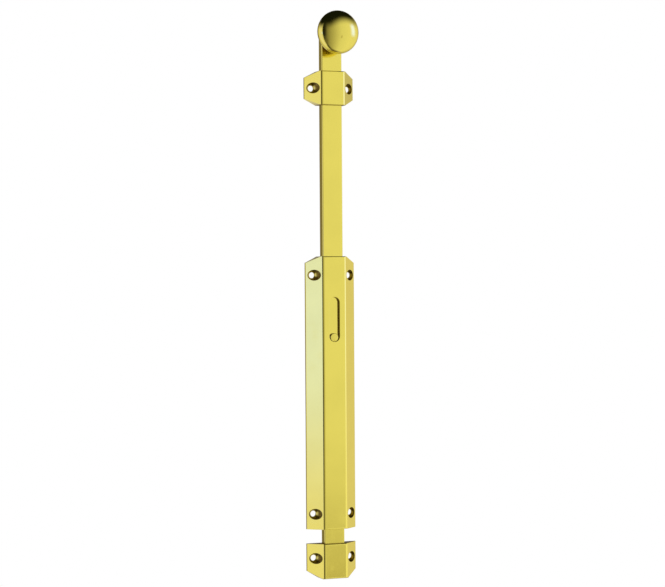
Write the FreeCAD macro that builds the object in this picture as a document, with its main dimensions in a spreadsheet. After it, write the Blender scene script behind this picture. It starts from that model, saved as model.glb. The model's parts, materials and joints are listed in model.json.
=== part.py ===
import FreeCAD, Part
import math
import os
import Sketcher

# Surface bolt: a flat rod slides in a bevelled casing and a guide and drops into a keep.
# Frame: +Z runs up along the rod, the fronts face -Y, the mounting plane is Y = 0, and the
# origin is the centre of the casing's four screw holes.

PARTS_FOLDER = "parts"

# Driving sizes in millimetres, in the order of the sheet: alias, value, meaning
SIZES = (
    ("section_width", 39.0, "width of the bevelled section over its wings"),
    ("section_height", 10.9, "height of the section above the mounting plane"),
    ("flat_width", 17.6, "width of the flat front"),
    ("edge_height", 1.8, "height of the upright outer edge of a wing"),
    ("back_wall", 1.8, "wall between the rod's bore and the mounting plane"),
    ("front_edge_radius", 2.8, "rounding between the flat front and a bevel"),
    ("wing_edge_radius", 0.5, "rounding between a bevel and its outer edge"),
    ("end_edge_chamfer", 0.2, "chamfer round the outline at the cut ends of the section"),
    ("corner_cut_start", 1.3, "start of a cut wing corner outside the flat front"),
    ("casing_length", 203.2, "length of the casing"),
    ("casing_top_margin", 14.0, "casing's upper screw holes to its top end"),
    ("casing_bottom_margin", 11.4, "casing's lower screw holes to its bottom end"),
    ("casing_corner_cut", 4.8, "drop of the cut wing corners at the casing's top"),
    ("hole_row_spacing", 28.6, "distance between the left and right screw holes"),
    ("screw_hole_diameter", 4.5, "clearance hole for a No. 8 wood screw"),
    ("screw_head_diameter", 8.0, "counterbore and countersink for the screw's head"),
    ("screw_head_seat", 3.0, "rim of the countersink above the mounting plane"),
    ("guide_height", 25.4, "height of the guide bracket"),
    ("guide_drop", 40.2, "middle of the guide bracket below the knob's centre"),
    ("guide_corner_cut", 4.8, "drop of the cut wing corners of the guide bracket"),
    ("keep_height", 26.0, "height of the keep"),
    ("keep_gap_below_casing", 10.7, "open space between the casing and the keep"),
    ("keep_hole_drop", 10.8, "screw holes of the keep below its top"),
    ("keep_corner_cut", 5.6, "drop of the cut wing corners of the keep"),
    ("keep_clearance", 0.3, "space round the rod in the keep"),
    ("rod_width", 16.0, "width of the rod"),
    ("rod_thickness", 6.5, "thickness of the rod"),
    ("rod_length", 406.4, "length of the rod"),
    ("rod_engagement", 19.0, "length of the thrown rod inside the keep"),
    ("rod_edge_radius", 0.7, "rounding of the rod's long edges"),
    ("rod_end_chamfer", 0.8, "chamfer round the rod's ends"),
    ("running_clearance", 0.1, "space round the rod in the casing and the guide"),
    ("rod_throw", 27.0, "travel of the rod"),
    ("slot_width", 8.2, "width of the slot in the casing's front"),
    ("slot_bottom", 39.2, "lower end of the slot above the origin"),
    ("slot_rim_chamfer", 0.25, "chamfer round the slot's rim"),
    ("pin_diameter", 6.4, "diameter of the stop pin's head"),
    ("pin_recess", 0.5, "stop pin's head below the flat front"),
    ("pin_shank_diameter", 4.5, "diameter of the stop pin's shank"),
    ("pin_shank_length", 4.0, "length of the shank in the rod"),
    ("pin_rim_chamfer", 0.4, "chamfer round the stop pin's head"),
    ("blind_hole_spare", 0.5, "depth of a blind hole past what it holds"),
    ("spring_length", 48.0, "length of the bow spring"),
    ("spring_width", 8.0, "width of the bow spring"),
    ("spring_leaf", 0.4, "thickness of the bow spring's strip"),
    ("spring_centre_drop", 40.0, "middle of the bow spring below the origin"),
    ("spring_pocket_depth", 1.3, "depth of the spring's pocket in the rod"),
    ("spring_pocket_clearance", 0.4, "space round the spring in its pocket"),
    ("spring_rub_gap", 0.05, "space between the spring's crown and the casing"),
    ("knob_radius", 16.1, "largest radius of the knob"),
    ("knob_middle", 12.6, "plane of the knob's largest radius in front of the rod"),
    ("knob_shoulder_radius", 5.0, "rounding of the knob at its largest radius"),
    ("knob_dome_radius", 26.0, "radius of the knob's domed front"),
    ("knob_neck_radius", 7.0, "radius of the knob's neck on the rod"),
    ("knob_to_rod_end", 8.0, "centre of the knob below the rod's top end"),
    ("knob_screw_diameter", 5.0, "diameter of the knob screw's shank"),
    ("knob_screw_reach", 10.0, "length of the knob screw inside the knob"),
    ("knob_screw_head_diameter", 9.2, "diameter of the knob screw's head"),
    ("driver_slot_width", 1.2, "width of the slot in the knob screw's head"),
    ("driver_slot_depth", 1.1, "depth of the slot in the knob screw's head"),
)


class Size:
    """A length that knows its number and the formula that gives it from the sheet."""

    def __init__(self, number, formula):
        self.number = number
        self.formula = formula

    def joined(self, sign, other, number):
        return Size(number, "(%s %s %s)" % (self.formula, sign, other.formula))

    def __add__(self, other):
        other = as_size(other)
        return self.joined("+", other, self.number + other.number)

    def __sub__(self, other):
        other = as_size(other)
        return self.joined("-", other, self.number - other.number)

    def __mul__(self, other):
        other = as_size(other)
        return self.joined("*", other, self.number * other.number)

    def __truediv__(self, other):
        other = as_size(other)
        return self.joined("/", other, self.number / other.number)

    def __neg__(self):
        return as_size(0) - self


def as_size(value):
    if isinstance(value, Size):
        return value
    return Size(float(value), str(float(value)))


def bind(item, path, value):
    """Let a property of an object follow its formula on the sheet."""
    item.setExpression(path, as_size(value).formula)


doc = FreeCAD.newDocument("SurfaceBolt")
sheet = doc.addObject("Spreadsheet::Sheet", "Sizes")
for row, (alias, value, meaning) in enumerate(SIZES, start=1):
    sheet.set("A%d" % row, meaning)
    sheet.set("B%d" % row, str(value))
    sheet.setAlias("B%d" % row, alias)
doc.recompute()


def size(alias):
    return Size(float(sheet.get(alias)), "Sizes." + alias)


# The section that the casing, the guide bracket and the keep are cut from
half_width = size("section_width") / 2
half_flat = size("flat_width") / 2
front = size("section_height")
edge_height = size("edge_height")

# The rod's place in the section
half_rod = size("rod_width") / 2
rod_back = size("back_wall") + size("running_clearance")
rod_front = rod_back + size("rod_thickness")

# Heights along the rod
hole_spacing = size("casing_length") - size("casing_top_margin") - size("casing_bottom_margin")
upper_holes = hole_spacing / 2
casing_top = upper_holes + size("casing_top_margin")
casing_bottom = casing_top - size("casing_length")
keep_top = casing_bottom - size("keep_gap_below_casing")
keep_bottom = keep_top - size("keep_height")
keep_holes = keep_top - size("keep_hole_drop")
rod_bottom = keep_top - size("rod_engagement")
rod_top = rod_bottom + size("rod_length")
knob_height = rod_top - size("knob_to_rod_end")
guide_centre = knob_height - size("guide_drop")
guide_bottom = guide_centre - size("guide_height") / 2
guide_top = guide_bottom + size("guide_height")

# The stop pin stands on the slot's lower end, and the slot leaves it the rod's travel
pin_radius = size("pin_diameter") / 2
pin_shank_radius = size("pin_shank_diameter") / 2
pin_height = size("slot_bottom") + pin_radius
slot_radius = size("slot_width") / 2
slot_top = size("slot_bottom") + size("rod_throw") + size("pin_diameter")

# Screws
hole_offset = size("hole_row_spacing") / 2
hole_radius = size("screw_hole_diameter") / 2
head_radius = size("screw_head_diameter") / 2
knob_screw_radius = size("knob_screw_diameter") / 2
knob_screw_head_radius = size("knob_screw_head_diameter") / 2
knob_screw_head_height = knob_screw_head_radius - knob_screw_radius


def new_body(label):
    body = doc.addObject("PartDesign::Body", label)
    body.Label = label
    return body


def origin_plane(body, role):
    for item in body.Origin.OriginFeatures:
        if item.Role == role:
            return item
    raise ValueError("no plane " + role)


def new_sketch(body, name, role, offset=0, sideways=0):
    """A sketch on an origin plane, moved along the plane's normal and along its first axis."""
    sketch = body.newObject("Sketcher::SketchObject", name)
    sketch.AttachmentSupport = [(origin_plane(body, role), "")]
    sketch.MapMode = "FlatFace"
    bind(sketch, "AttachmentOffset.Base.z", offset)
    bind(sketch, "AttachmentOffset.Base.x", sideways)
    return sketch


def flat_vector(x, y):
    return FreeCAD.Vector(as_size(x).number, as_size(y).number, 0)


def drive(sketch, kind, *arguments):
    """Add a sized constraint whose last argument is its size, tied to the sheet."""
    value = as_size(arguments[-1])
    index = sketch.addConstraint(Sketcher.Constraint(kind, *arguments[:-1], value.number))
    bind(sketch, "Constraints[%d]" % index, value)


def place_point(sketch, edge, end, x, y):
    """Fix a point of an edge by its distances from the sketch's axes."""
    for kind, value, axis in (("DistanceX", x, -2), ("DistanceY", y, -1)):
        if as_size(value).number == 0:
            sketch.addConstraint(Sketcher.Constraint("PointOnObject", edge, end, axis))
        else:
            drive(sketch, kind, -1, 1, edge, end, value)


def draw_polygon(sketch, corners):
    """A closed outline of straight edges, with each corner tied to the sheet."""
    followers = corners[1:] + corners[:1]
    edges = [sketch.addGeometry(Part.LineSegment(flat_vector(*corner), flat_vector(*follower)))
             for corner, follower in zip(corners, followers)]
    for edge, follower in zip(edges, edges[1:] + edges[:1]):
        sketch.addConstraint(Sketcher.Constraint("Coincident", edge, 2, follower, 1))
    for edge, corner in zip(edges, corners):
        place_point(sketch, edge, 1, *corner)


def draw_rectangle(sketch, left, bottom, right, top):
    draw_polygon(sketch, [(left, bottom), (right, bottom), (right, top), (left, top)])


def draw_circle(sketch, x, y, radius):
    circle = sketch.addGeometry(
        Part.Circle(flat_vector(x, y), FreeCAD.Vector(0, 0, 1), radius.number))
    drive(sketch, "Radius", circle, radius)
    place_point(sketch, circle, 3, x, y)


def draw_arc(sketch, x, y, radius, first_angle, last_angle):
    circle = Part.Circle(flat_vector(x, y), FreeCAD.Vector(0, 0, 1), as_size(radius).number)
    return sketch.addGeometry(Part.ArcOfCircle(circle, first_angle, last_angle))


def draw_line(sketch, x1, y1, x2, y2):
    return sketch.addGeometry(Part.LineSegment(flat_vector(x1, y1), flat_vector(x2, y2)))


def draw_upright_slot(sketch, bottom, top, radius):
    """Two upright sides joined by half circles, centred on the sketch's upright axis."""
    low = bottom + radius
    high = top - radius
    upper = draw_arc(sketch, 0, high, radius, 0, math.pi)
    left = draw_line(sketch, -radius, high, -radius, low)
    lower = draw_arc(sketch, 0, low, radius, math.pi, 2 * math.pi)
    right = draw_line(sketch, radius, low, radius, high)
    for first, last_end, second, first_end in (
            (upper, 2, left, 1), (left, 2, lower, 1), (lower, 2, right, 1), (right, 2, upper, 1)):
        sketch.addConstraint(
            Sketcher.Constraint("Tangent", first, last_end, second, first_end))
    drive(sketch, "Radius", lower, radius)
    place_point(sketch, upper, 3, 0, high)
    place_point(sketch, lower, 3, 0, low)


def finish_feature(body, feature):
    """Make a feature the body's latest one and work it out."""
    body.Tip = feature
    doc.recompute()
    return feature


def add_pad(body, sketch, length):
    pad = body.newObject("PartDesign::Pad", sketch.Name + "_pad")
    pad.Profile = sketch
    bind(pad, "Length", length)
    return finish_feature(body, pad)


def add_cut(body, kind, sketch, settings):
    """A feature that takes a sketch's sweep away from the body."""
    volume = body.Tip.Shape.Volume
    cut = body.newObject(kind, sketch.Name + "_cut")
    cut.Profile = sketch
    settings(cut)
    finish_feature(body, cut)
    if not cut.Shape.Volume < volume:
        raise RuntimeError(cut.Name + " cuts nothing")


def pocket(body, sketch, depth=None, along_normal=False):
    """Cut a sketch into the body to a depth, or right through where none is given."""
    def settings(cut):
        cut.Reversed = along_normal
        if depth is None:
            cut.Type = "ThroughAll"
        else:
            bind(cut, "Length", depth)
    add_cut(body, "PartDesign::Pocket", sketch, settings)


def groove(body, sketch):
    """Cut a full turn of a sketch round its own upright axis."""
    def settings(cut):
        cut.ReferenceAxis = (sketch, ["V_Axis"])
        cut.Angle = 360
    add_cut(body, "PartDesign::Groove", sketch, settings)


def revolve(body, sketch):
    """A full turn of a sketch round its own upright axis."""
    turned = body.newObject("PartDesign::Revolution", sketch.Name + "_turn")
    turned.Profile = sketch
    turned.ReferenceAxis = (sketch, ["V_Axis"])
    turned.Angle = 360
    return finish_feature(body, turned)


def dress_edges(body, kind, path, amount, is_wanted):
    """Round or chamfer the body's edges that pass a test."""
    base = body.Tip
    names = ["Edge%d" % number for number, edge in enumerate(base.Shape.Edges, start=1)
             if is_wanted(edge)]
    if not names:
        raise RuntimeError(base.Name + " has no such edge")
    dressed = body.newObject(kind, base.Name + "_dressed")
    dressed.Base = (base, names)
    bind(dressed, path, amount)
    finish_feature(body, dressed)


def fillet(body, radius, is_wanted):
    dress_edges(body, "PartDesign::Fillet", "Radius", radius, is_wanted)


def chamfer(body, amount, is_wanted):
    dress_edges(body, "PartDesign::Chamfer", "Size", amount, is_wanted)


def near(value, target):
    return abs(value - as_size(target).number) < 0.001


def is_upright(edge, x, y):
    """A straight edge along Z at a distance x to either side and y in front."""
    box = edge.BoundBox
    middle = box.Center
    return (near(box.XLength, 0) and near(box.YLength, 0) and not near(box.ZLength, 0)
            and near(abs(middle.x), x) and near(-middle.y, y))


def lies_at_height(edge, height):
    box = edge.BoundBox
    return near(box.ZMin, height) and near(box.ZMax, height)


def cut_section(label, bottom, length, clearance):
    """A length of the bevelled section with the rod's bore."""
    body = new_body(label)
    outline = new_sketch(body, label + "_section", "XY_Plane", bottom)
    draw_polygon(outline, [(-half_width, 0), (half_width, 0), (half_width, -edge_height),
                           (half_flat, -front), (-half_flat, -front), (-half_width, -edge_height)])
    draw_rectangle(outline, -half_rod - clearance, -rod_front - clearance,
                   half_rod + clearance, clearance - rod_back)
    add_pad(body, outline, length)
    return body


def soften_edges(body, clearance):
    """Chamfer the outline at both ends, except at the back, and round the long front edges."""
    bore_side = (half_rod + clearance).number
    bore_front = (rod_front + clearance).number

    def is_end_outline(edge):
        box = edge.BoundBox
        side = max(-box.XMin, box.XMax)
        runs_upright = near(box.XLength, 0) and near(box.YLength, 0)
        runs_back = near(box.XLength, 0) and near(box.ZLength, 0)
        is_bore = side < bore_side + 0.001 and -box.YMin < bore_front + 0.001
        if runs_upright or is_bore or near(box.YMin, 0):
            return False
        return near(side, half_width) or not runs_back

    chamfer(body, size("end_edge_chamfer"), is_end_outline)
    fillet(body, size("front_edge_radius"), lambda edge: is_upright(edge, half_flat, front))
    fillet(body, size("wing_edge_radius"), lambda edge: is_upright(edge, half_width, edge_height))


def cut_wing_corners(body, end, drop):
    """Cut both wings from beside the flat at an end to the outer edge."""
    start = half_flat + size("corner_cut_start")
    for side, name in ((-1, "left"), (1, "right")):
        corner = new_sketch(body, "%s_%s_corner" % (body.Name, name), "XZ_Plane", front + 1)
        draw_polygon(corner, [(start * side, end), (half_width * side, end - drop),
                              (half_width * side, end)])
        pocket(body, corner)


def drill_screw_holes(body, heights):
    """Pairs of wood screw holes, each with a countersink at the foot of a counterbore."""
    seat = size("screw_head_seat")
    cone_foot = seat - (head_radius - hole_radius)
    for height in heights:
        for side, name in ((-1, "left"), (1, "right")):
            profile = new_sketch(body, "%s_%s_hole" % (body.Name, name), "XY_Plane", height,
                                 hole_offset * side)
            draw_polygon(profile, [(0, 0), (hole_radius, 0), (hole_radius, -cone_foot),
                                   (head_radius, -seat), (head_radius, -front), (0, -front)])
            groove(body, profile)


def make_casing():
    body = cut_section("bolt_casing", casing_bottom, size("casing_length"),
                       size("running_clearance"))
    cut_wing_corners(body, casing_top, size("casing_corner_cut"))
    soften_edges(body, size("running_clearance"))
    drill_screw_holes(body, [upper_holes, -upper_holes])
    slot = new_sketch(body, "casing_slot", "XZ_Plane", front)
    draw_upright_slot(slot, size("slot_bottom"), slot_top, slot_radius)
    pocket(body, slot, front - rod_front)
    chamfer(body, size("slot_rim_chamfer"), is_slot_rim)
    return body


def is_slot_rim(edge):
    """An edge of the slot in the plane of the flat front."""
    box = edge.BoundBox
    return (near(-box.YMin, front) and near(-box.YMax, front)
            and box.ZMin > size("slot_bottom").number - 1 and box.ZMax < slot_top.number + 1
            and max(-box.XMin, box.XMax) < slot_radius.number + 0.01)


def make_guide():
    body = cut_section("guide_bracket", guide_bottom, size("guide_height"),
                       size("running_clearance"))
    cut_wing_corners(body, guide_top, size("guide_corner_cut"))
    cut_wing_corners(body, guide_bottom, -size("guide_corner_cut"))
    soften_edges(body, size("running_clearance"))
    drill_screw_holes(body, [guide_centre])
    return body


def make_keep():
    body = cut_section("keep", keep_bottom, size("keep_height"), size("keep_clearance"))
    cut_wing_corners(body, keep_bottom, -size("keep_corner_cut"))
    soften_edges(body, size("keep_clearance"))
    drill_screw_holes(body, [keep_holes])
    return body


def make_rod():
    body = new_body("bolt_rod")
    outline = new_sketch(body, "rod_section", "XY_Plane", rod_bottom)
    draw_rectangle(outline, -half_rod, -rod_front, half_rod, -rod_back)
    add_pad(body, outline, size("rod_length"))
    chamfer(body, size("rod_end_chamfer"),
            lambda edge: lies_at_height(edge, rod_bottom) or lies_at_height(edge, rod_top))
    fillet(body, size("rod_edge_radius"),
           lambda edge: is_upright(edge, half_rod, rod_front) or is_upright(edge, half_rod, rod_back))
    pin_hole = new_sketch(body, "pin_hole", "XZ_Plane", rod_front)
    draw_circle(pin_hole, 0, pin_height, pin_shank_radius)
    pocket(body, pin_hole, size("pin_shank_length") + size("blind_hole_spare"))
    screw_hole = new_sketch(body, "knob_screw_hole", "XY_Plane", knob_height)
    draw_polygon(screw_hole, [
        (0, -rod_back), (knob_screw_head_radius, -rod_back),
        (knob_screw_radius, -rod_back - knob_screw_head_height),
        (knob_screw_radius, -rod_front), (0, -rod_front)])
    groove(body, screw_hole)
    spring_pocket = new_sketch(body, "spring_pocket", "XZ_Plane", rod_back)
    room = size("spring_pocket_clearance")
    reach = size("spring_length") / 2 + room
    half_pocket = size("spring_width") / 2 + room
    draw_rectangle(spring_pocket, -half_pocket, -size("spring_centre_drop") - reach,
                   half_pocket, reach - size("spring_centre_drop"))
    pocket(body, spring_pocket, size("spring_pocket_depth"), along_normal=True)
    return body


def make_stop_pin():
    body = new_body("stop_pin")
    profile = new_sketch(body, "pin_profile", "XY_Plane", pin_height)
    shank_end = rod_front - size("pin_shank_length")
    head = front - size("pin_recess")
    draw_polygon(profile, [
        (0, -shank_end), (pin_shank_radius, -shank_end), (pin_shank_radius, -rod_front),
        (pin_radius, -rod_front), (pin_radius, -head), (0, -head)])
    revolve(body, profile)
    chamfer(body, size("pin_rim_chamfer"),
            lambda edge: near(-edge.BoundBox.YMin, head) and near(-edge.BoundBox.YMax, head))
    return body


def make_bow_spring():
    """A strip bent to an arc: its ends stand in the rod's pocket, its crown faces the casing."""
    floor = rod_back + size("spring_pocket_depth")
    crown = size("back_wall") + size("spring_rub_gap")
    rise = floor - crown - size("spring_leaf")
    half_length = size("spring_length") / 2
    inner_radius = half_length * half_length / (rise * 2) + rise / 2
    outer_radius = inner_radius + size("spring_leaf")
    turn = FreeCAD.Rotation(FreeCAD.Vector(0, 1, 0), 90)
    rolls = []
    for name, radius in (("spring_outside", outer_radius), ("spring_inside", inner_radius)):
        roll = doc.addObject("Part::Cylinder", name)
        roll.Placement = FreeCAD.Placement(FreeCAD.Vector(0, 0, 0), turn)
        bind(roll, "Radius", radius)
        bind(roll, "Height", size("spring_width"))
        bind(roll, "Placement.Base.x", -size("spring_width") / 2)
        bind(roll, "Placement.Base.y", -crown - outer_radius)
        bind(roll, "Placement.Base.z", -size("spring_centre_drop"))
        rolls.append(roll)
    shell = doc.addObject("Part::Cut", "spring_shell")
    shell.Base, shell.Tool = rolls
    stretch = doc.addObject("Part::Box", "spring_stretch")
    for path, value in (("Length", size("spring_width")), ("Width", floor - crown),
                        ("Height", size("spring_length")),
                        ("Placement.Base.x", -size("spring_width") / 2),
                        ("Placement.Base.y", -floor),
                        ("Placement.Base.z", -size("spring_centre_drop") - half_length)):
        bind(stretch, path, value)
    spring = doc.addObject("Part::Common", "bow_spring")
    spring.Label = "bow_spring"
    spring.Base = shell
    spring.Tool = stretch
    doc.recompute()
    return spring


def make_knob():
    """A turned knob: a domed front, a rounded shoulder, a cone at the back and a short neck."""
    body = new_body("knob")
    body.Placement = FreeCAD.Placement(FreeCAD.Vector(0, 0, 0),
                                       FreeCAD.Rotation(FreeCAD.Vector(1, 0, 0), 90))
    bind(body, "Placement.Base.y", -rod_front)
    bind(body, "Placement.Base.z", knob_height)
    middle = size("knob_middle")
    shoulder = size("knob_shoulder_radius")
    dome = size("knob_dome_radius")
    neck = size("knob_neck_radius")
    shoulder_out = size("knob_radius") - shoulder

    # The dome touches the shoulder, so its centre lies this far behind the knob's middle plane
    reach = math.sqrt((dome.number - shoulder.number) ** 2 - shoulder_out.number ** 2)
    dome_centre = middle.number - reach
    turn = math.atan2(reach, shoulder_out.number)
    cone_radius = shoulder_out.number + shoulder.number * math.cos(turn)
    cone_top = middle.number - shoulder.number * math.sin(turn)
    neck_top = cone_top - (cone_radius - neck.number) / math.tan(turn)

    profile = new_sketch(body, "knob_profile", "XZ_Plane")
    base = draw_line(profile, 0, 0, neck, 0)
    side = draw_line(profile, neck, 0, neck, neck_top)
    cone = draw_line(profile, neck, neck_top, cone_radius, cone_top)
    shoulder_arc = draw_arc(profile, shoulder_out, middle, shoulder, -turn, turn)
    dome_arc = draw_arc(profile, 0, dome_centre, dome, turn, math.pi / 2)
    axis = draw_line(profile, 0, dome_centre + dome.number, 0, 0)
    for first, second in ((base, side), (side, cone), (dome_arc, axis), (axis, base)):
        profile.addConstraint(Sketcher.Constraint("Coincident", first, 2, second, 1))
    for first, second in ((cone, shoulder_arc), (shoulder_arc, dome_arc)):
        profile.addConstraint(Sketcher.Constraint("Tangent", first, 2, second, 1))
    for upright in (side, axis):
        profile.addConstraint(Sketcher.Constraint("Vertical", upright))
    profile.addConstraint(Sketcher.Constraint("Vertical", shoulder_arc, 1, shoulder_arc, 2))
    profile.addConstraint(Sketcher.Constraint("PointOnObject", dome_arc, 3, -2))
    place_point(profile, base, 1, 0, 0)
    place_point(profile, base, 2, neck, 0)
    place_point(profile, shoulder_arc, 3, shoulder_out, middle)
    drive(profile, "Radius", shoulder_arc, shoulder)
    drive(profile, "Radius", dome_arc, dome)
    revolve(body, profile)

    screw_hole = new_sketch(body, "knob_thread_hole", "XY_Plane")
    draw_circle(screw_hole, 0, 0, knob_screw_radius)
    pocket(body, screw_hole, size("knob_screw_reach") + size("blind_hole_spare"),
           along_normal=True)
    return body


def make_knob_screw():
    body = new_body("knob_screw")
    tip = rod_front + size("knob_screw_reach")
    profile = new_sketch(body, "knob_screw_profile", "XY_Plane", knob_height)
    draw_polygon(profile, [
        (0, -rod_back), (knob_screw_head_radius, -rod_back),
        (knob_screw_radius, -rod_back - knob_screw_head_height),
        (knob_screw_radius, -tip), (0, -tip)])
    revolve(body, profile)
    driver_slot = new_sketch(body, "driver_slot", "XZ_Plane", rod_back)
    half_slot = size("driver_slot_width") / 2
    draw_rectangle(driver_slot, -knob_screw_head_radius, knob_height - half_slot,
                   knob_screw_head_radius, knob_height + half_slot)
    pocket(body, driver_slot, size("driver_slot_depth"), along_normal=True)
    return body


pieces = [make_casing(), make_guide(), make_keep(), make_rod(), make_stop_pin(),
          make_bow_spring(), make_knob(), make_knob_screw()]
doc.recompute()

for item in doc.Objects:
    if "Invalid" in item.State or "Error" in item.State:
        raise RuntimeError("%s failed: %s" % (item.Label, item.State))
for piece in pieces:
    shape = piece.Shape
    if shape.isNull() or not shape.isValid() or len(shape.Solids) != 1:
        raise RuntimeError(piece.Label + " is not one valid solid")

os.makedirs(PARTS_FOLDER, exist_ok=True)
for piece in pieces:
    piece.Shape.exportStep(os.path.join(PARTS_FOLDER, piece.Label + ".step"))
    print("%s: %.1f mm3" % (piece.Label, piece.Shape.Volume))
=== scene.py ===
"""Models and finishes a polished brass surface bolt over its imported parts, and sets up its studio."""

import json
import math

import bmesh
import bpy
from mathutils import Matrix, Vector


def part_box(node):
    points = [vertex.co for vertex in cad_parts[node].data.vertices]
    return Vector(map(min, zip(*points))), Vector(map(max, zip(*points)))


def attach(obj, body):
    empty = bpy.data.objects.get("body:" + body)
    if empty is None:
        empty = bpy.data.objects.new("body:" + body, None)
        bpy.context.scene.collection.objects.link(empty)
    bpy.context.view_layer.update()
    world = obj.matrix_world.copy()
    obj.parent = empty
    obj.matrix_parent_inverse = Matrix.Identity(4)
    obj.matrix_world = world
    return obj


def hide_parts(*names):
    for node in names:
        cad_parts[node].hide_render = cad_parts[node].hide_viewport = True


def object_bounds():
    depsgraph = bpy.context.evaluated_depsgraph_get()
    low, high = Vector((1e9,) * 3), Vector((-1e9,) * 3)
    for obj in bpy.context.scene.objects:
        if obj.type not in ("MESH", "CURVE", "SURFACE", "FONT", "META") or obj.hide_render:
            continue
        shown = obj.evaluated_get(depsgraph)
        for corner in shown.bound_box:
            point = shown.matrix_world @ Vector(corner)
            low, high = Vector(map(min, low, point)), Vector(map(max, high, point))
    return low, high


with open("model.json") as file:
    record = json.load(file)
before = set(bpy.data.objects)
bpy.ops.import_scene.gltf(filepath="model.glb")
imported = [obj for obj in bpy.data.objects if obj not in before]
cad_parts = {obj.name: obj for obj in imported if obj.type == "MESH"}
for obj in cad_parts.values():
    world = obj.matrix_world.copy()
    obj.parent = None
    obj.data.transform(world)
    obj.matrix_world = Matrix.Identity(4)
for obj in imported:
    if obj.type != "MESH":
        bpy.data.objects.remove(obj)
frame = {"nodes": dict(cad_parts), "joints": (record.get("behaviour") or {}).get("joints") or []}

CAD_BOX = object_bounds()

bl_info = {
    "name": "Surface bolt",
    "version": (1, 0, 0),
    "blender": (4, 5, 0),
    "location": "3D View > Sidebar > Surface bolt",
    "description": "Models and finishes the parts of a brass surface bolt and sets up its studio",
    "category": "Object",
}

MM = 0.001

# Points closer than WELD become one. Places closer than NEAR count as the same when edges are picked.
WELD = 0.001 * MM
NEAR = 0.01 * MM

# How far the cutters stand out past what they cut
CUTTER_SPARE = 1 * MM
DRILL_REACH = 20 * MM
BORE_SPARE = 100 * MM

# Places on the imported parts
CASING_LOW, CASING_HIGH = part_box("bolt_casing")
ROD_LOW, ROD_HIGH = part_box("bolt_rod")
PIN_LOW, PIN_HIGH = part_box("stop_pin")
KNOB_LOW, KNOB_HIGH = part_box("knob")
SCREW_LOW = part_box("knob_screw")[0]
ROD_TRAVEL = frame["joints"][0]["range_m"][1]
PIN_HEIGHT = (PIN_LOW.z + PIN_HIGH.z) / 2
KNOB_HEIGHT = (KNOB_LOW.z + KNOB_HIGH.z) / 2


# Sizes and colours

def length(name, description, millimetres):
    return bpy.props.FloatProperty(
        name=name, description=description, unit="LENGTH", min=0, default=millimetres * MM
    )


def colour(name, description, default):
    return bpy.props.FloatVectorProperty(
        name=name, description=description, subtype="COLOR", size=3, min=0, max=1, default=default
    )


class BoltShape(bpy.types.PropertyGroup):
    """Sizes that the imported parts' boxes don't show."""

    flat_width: length("Flat", "Width of the flat front", 17.6)
    edge_height: length("Wing edge", "Height of a wing's upright outer edge", 1.8)
    front_rounding: length("Front rounding", "Radius between the flat front and a bevel", 2.8)
    wing_rounding: length("Wing rounding", "Radius between a bevel and its outer edge", 0.5)
    end_rounding: length("End rounding", "Softening of the outline at a cut end", 0.08)
    corner_start: length("Corner start", "Start of a cut corner outside the flat front", 1.3)
    upper_corner_drop: length("Corner drop", "Drop of the casing's and guide's cut corners", 4.8)
    keep_corner_drop: length("Keep corner drop", "Drop of the keep's cut corners", 5.6)
    bore_clearance: length("Bore clearance", "Space round the rod in the casing and the guide", 0.1)
    keep_clearance: length("Keep clearance", "Space round the rod in the keep", 0.3)
    hole_across: length("Screw holes", "Screw holes from the middle line", 14.3)
    upper_hole_drop: length("Upper holes", "Upper screw holes below the casing's top", 14.0)
    lower_hole_rise: length("Lower holes", "Lower screw holes above the casing's bottom", 11.4)
    keep_hole_drop: length("Keep holes", "Screw holes below the keep's top", 10.8)
    hole_diameter: length("Hole", "Diameter of the screw holes", 4.5)
    head_diameter: length("Counterbore", "Diameter of the seats for the screws' heads", 8.0)
    head_seat: length("Head seat", "Top of a countersink above the mounting plane", 3.0)
    slot_width: length("Slot", "Width of the casing's slot", 8.2)
    slot_rim: length("Slot rim", "Softening of the slot's rim", 0.25)
    knob_shoulder: length("Knob shoulder", "Rounding of the knob at its largest radius", 5.0)
    knob_dome: length("Knob dome", "Radius of the knob's domed front", 26.0)
    knob_neck: length("Knob neck", "Radius of the knob's neck on the rod", 7.0)
    knob_hole: length("Knob hole", "Diameter of the hole that holds the knob's screw", 5.0)
    knob_hole_spare: length("Hole spare", "Depth of the knob's hole past its screw", 0.5)
    pin_shank: length("Pin shank", "Diameter of the stop pin's shank", 4.5)
    pin_rim: length("Pin rim", "Rounding round the stop pin's head", 0.4)


class BoltFinish(bpy.types.PropertyGroup):
    """Colours and polish of the metals."""

    brass: colour("Brass", "Colour of the polished brass", (0.90, 0.775, 0.145))
    # This brown is painted shade: it darkens the screw holes, the slot's walls, the cut ends, the stop
    # pin's rim and the knob's back
    painted_shade_colour: colour("Residue", "Brown film where a polishing mop can't reach", (0.19, 0.115, 0.018))
    bronze: colour("Spring bronze", "Colour of the bow spring", (0.62, 0.33, 0.13))
    steel: colour("Plated steel", "Colour of the knob's screw", (0.62, 0.62, 0.60))
    polish: bpy.props.FloatProperty(
        name="Polish",
        description="Roughness of the brass where it is polished best",
        subtype="FACTOR",
        min=0.02,
        max=0.6,
        default=0.09,
    )


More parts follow.
